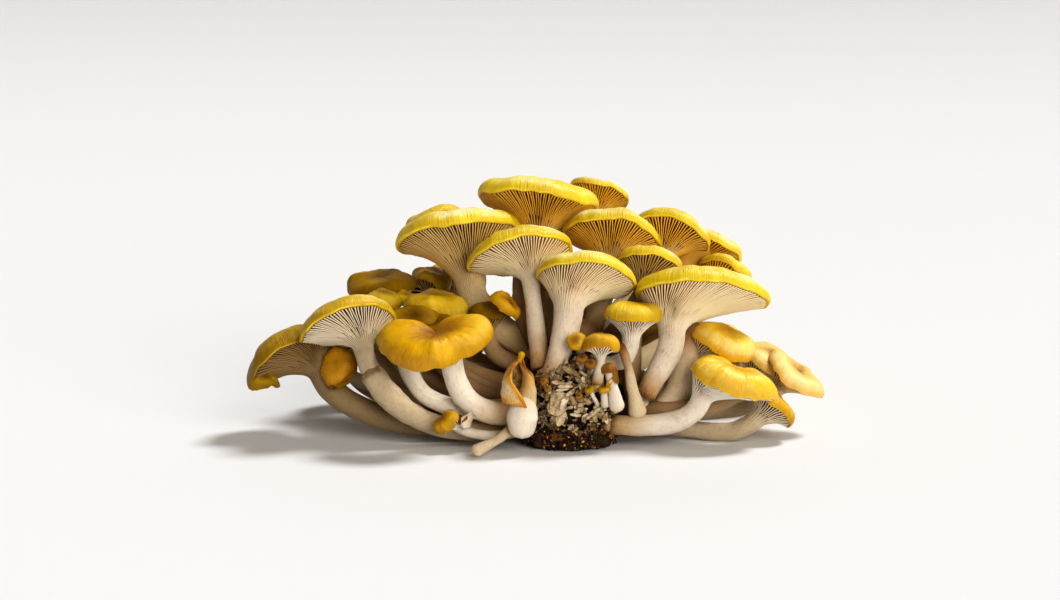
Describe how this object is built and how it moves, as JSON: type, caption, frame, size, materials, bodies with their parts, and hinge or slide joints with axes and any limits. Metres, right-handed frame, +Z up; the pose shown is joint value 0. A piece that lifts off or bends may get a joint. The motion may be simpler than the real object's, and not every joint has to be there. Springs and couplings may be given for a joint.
{
  "type": "oyster mushroom cluster",
  "caption": "Cluster of golden oyster mushrooms fanning up and out of one plug of substrate, with ribbed gills running down curved stems.",
  "frame": {"origin": "on the flat rest face, straight under the pale front of the plug, on the surface that the cluster stands on", "axes": "+Z up, +X to the right and -Y to the front, where the stems fan out of the plug and the gills show"},
  "size_m": [0.2239, 0.1473, 0.0983],
  "materials": {
    "cap_skin": "soft satin, golden yellow, paler at the margin",
    "flesh": "matte, cream, browner towards the foot",
    "husk": "matte, flaky, pale beige",
    "substrate": "matte, crumbly, dark brown"
  },
  "bodies": {
    "root": {"substrate": "substrate", "cap_left_tip": "cap_skin", "cap_left_fan": "cap_skin", "cap_left_hanging": "cap_skin", "cap_kidney": "cap_skin", "cap_left_front": "cap_skin", "cap_left_pocket": "cap_skin", "cap_left_frill": "cap_skin", "cap_left_small": "cap_skin", "cap_left_back": "cap_skin", "cap_left_back_small": "cap_skin", "cap_left_hidden": "cap_skin", "cap_inner_left": "cap_skin", "cap_upper_left": "cap_skin", "cap_upper_left_back": "cap_skin", "cap_crest": "cap_skin", "cap_upper_middle": "cap_skin", "cap_front_centre": "cap_skin", "cap_crest_right": "cap_skin", "cap_upper_centre": "cap_skin", "cap_upper_right": "cap_skin", "cap_right_shoulder": "cap_skin", "cap_right_shelf": "cap_skin", "cap_inner_right": "cap_skin", "cap_right_fan": "cap_skin", "cap_button": "cap_skin", "cap_front_bud": "cap_skin", "cap_right_dome": "cap_skin", "cap_right_low": "cap_skin", "cap_right_pale": "cap_skin", "cap_right_tip": "cap_skin", "cap_right_under": "cap_skin", "cap_crumpled": "cap_skin", "cap_back_crown": "cap_skin", "cap_back_centre": "cap_skin", "cap_back_right_high": "cap_skin", "cap_back_right_low": "cap_skin", "cap_right_hidden": "cap_skin", "cap_back_left_high": "cap_skin", "cap_back_left_low": "cap_skin", "stems_left_low": "flesh", "stems_left_front": "flesh", "stems_left_middle": "flesh", "stems_left_back": "flesh", "stems_upper_left": "flesh", "stems_upper_front": "flesh", "stems_crest": "flesh", "stems_right_back": "flesh", "stems_right_front": "flesh", "stem_button": "flesh", "stem_front_bud": "flesh", "stem_right_low": "flesh", "stems_right_side": "flesh", "stems_back": "flesh", "stems_back_right": "flesh", "stems_back_left": "flesh", "finger": "flesh", "withered_bud": "flesh", "husks": "husk"}
  },
  "joints": []
}
